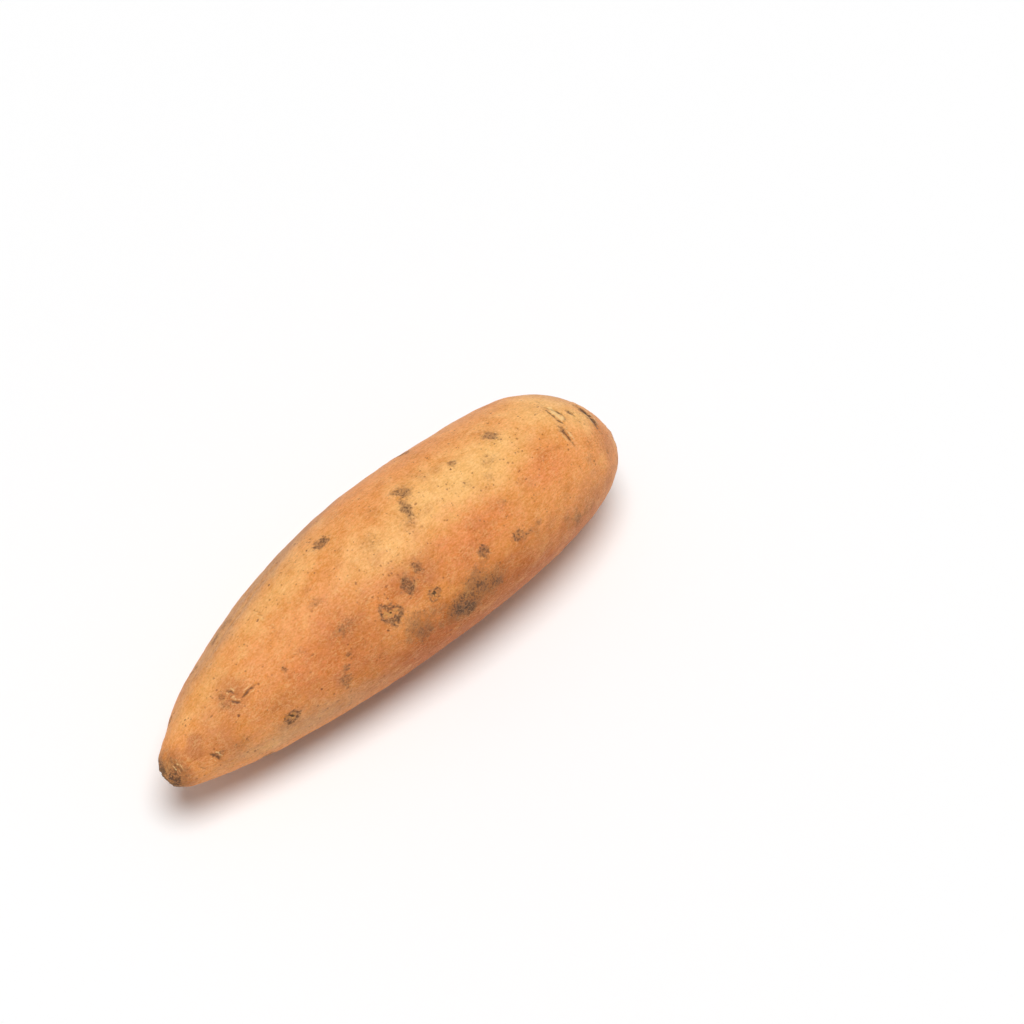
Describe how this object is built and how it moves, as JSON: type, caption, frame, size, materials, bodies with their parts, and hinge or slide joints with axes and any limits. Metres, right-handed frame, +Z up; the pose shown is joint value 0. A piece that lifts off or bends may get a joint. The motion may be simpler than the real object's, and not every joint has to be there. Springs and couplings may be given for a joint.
{
  "type": "sweet potato",
  "caption": "Whole raw sweet potato, an orange-tan storage root with a tapered tip and a blunt stem end, lying on its belly.",
  "frame": {"origin": "on the surface that the root rests on, under the middle of its bounding box", "axes": "+X along the root, from its tapered tip towards its blunt stem end; +Z up, out of the surface it rests on; +Y across it, to its left when looking towards the stem end"},
  "size_m": [0.1998, 0.062, 0.0566],
  "materials": {
    "skin": "dry orange-tan root skin, low sheen, with corky root scars and fine flaking"
  },
  "bodies": {
    "root": {"sweet_potato": "skin"}
  },
  "joints": []
}
